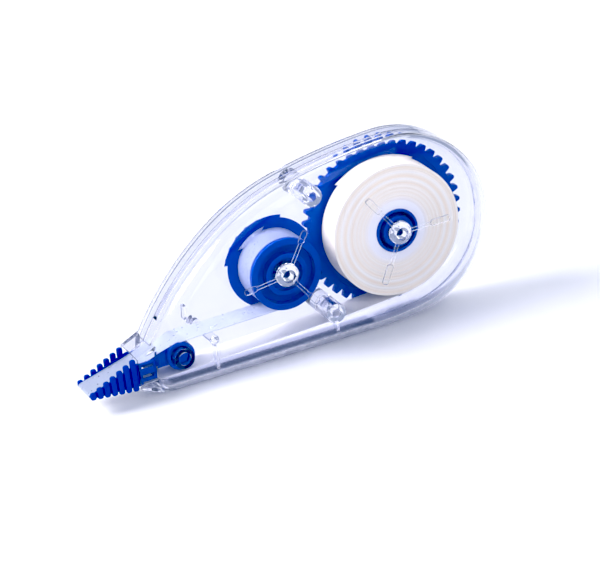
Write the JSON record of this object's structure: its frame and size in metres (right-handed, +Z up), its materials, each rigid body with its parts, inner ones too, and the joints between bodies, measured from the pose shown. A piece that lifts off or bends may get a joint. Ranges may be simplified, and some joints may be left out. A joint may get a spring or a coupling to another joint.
{
  "type": "correction tape roller",
  "caption": "Teardrop correction tape roller: clear two-part case, geared supply roll and take-up reel, ribbed nozzle with tape run.",
  "frame": {"origin": "centre of the footprint, on the surface the flat bottom edge stands on", "axes": "+X from the nozzle to the rear along the length, +Y from the front cover to the back cover, across the thickness, +Z up"},
  "size_m": [0.0753, 0.0112, 0.0333],
  "materials": {
    "clear_plastic": "clear polished polystyrene",
    "blue_plastic": "semi-gloss moulded blue",
    "tape": "dry white coating on film",
    "film": "translucent carrier film",
    "clutch_rubber": "matt rubber"
  },
  "bodies": {
    "case": {"front_cover": "clear_plastic", "back_cover": "clear_plastic", "nozzle": "blue_plastic", "correction_tape": "tape", "carrier_film": "film"},
    "drive_gear": {"supply_gear": "blue_plastic"},
    "supply_spool": {"supply_core": "blue_plastic", "tape_roll": "tape", "clutch_ring": "clutch_rubber"},
    "take_up": {"take_up_reel": "blue_plastic", "used_film_roll": "film"}
  },
  "joints": [
    {"name": "gear_spin", "type": "hinge", "parent": "case", "child": "drive_gear", "pos_m": [0.02035, 0, 0.01675], "axis": [0, 1, 0], "continuous": true},
    {"name": "spool_spin", "type": "hinge", "parent": "case", "child": "supply_spool", "pos_m": [0.02035, 0, 0.01675], "axis": [0, 1, 0], "continuous": true},
    {"name": "take_up_spin", "type": "hinge", "parent": "case", "child": "take_up", "pos_m": [-0.0009, 0, 0.0152], "axis": [0, 1, 0], "continuous": true}
  ],
  "couplings": [
    {"joint": "take_up_spin", "follows": "gear_spin", "ratio": -2.0476},
    {"joint": "spool_spin", "follows": "gear_spin", "ratio": 1.0985}
  ]
}
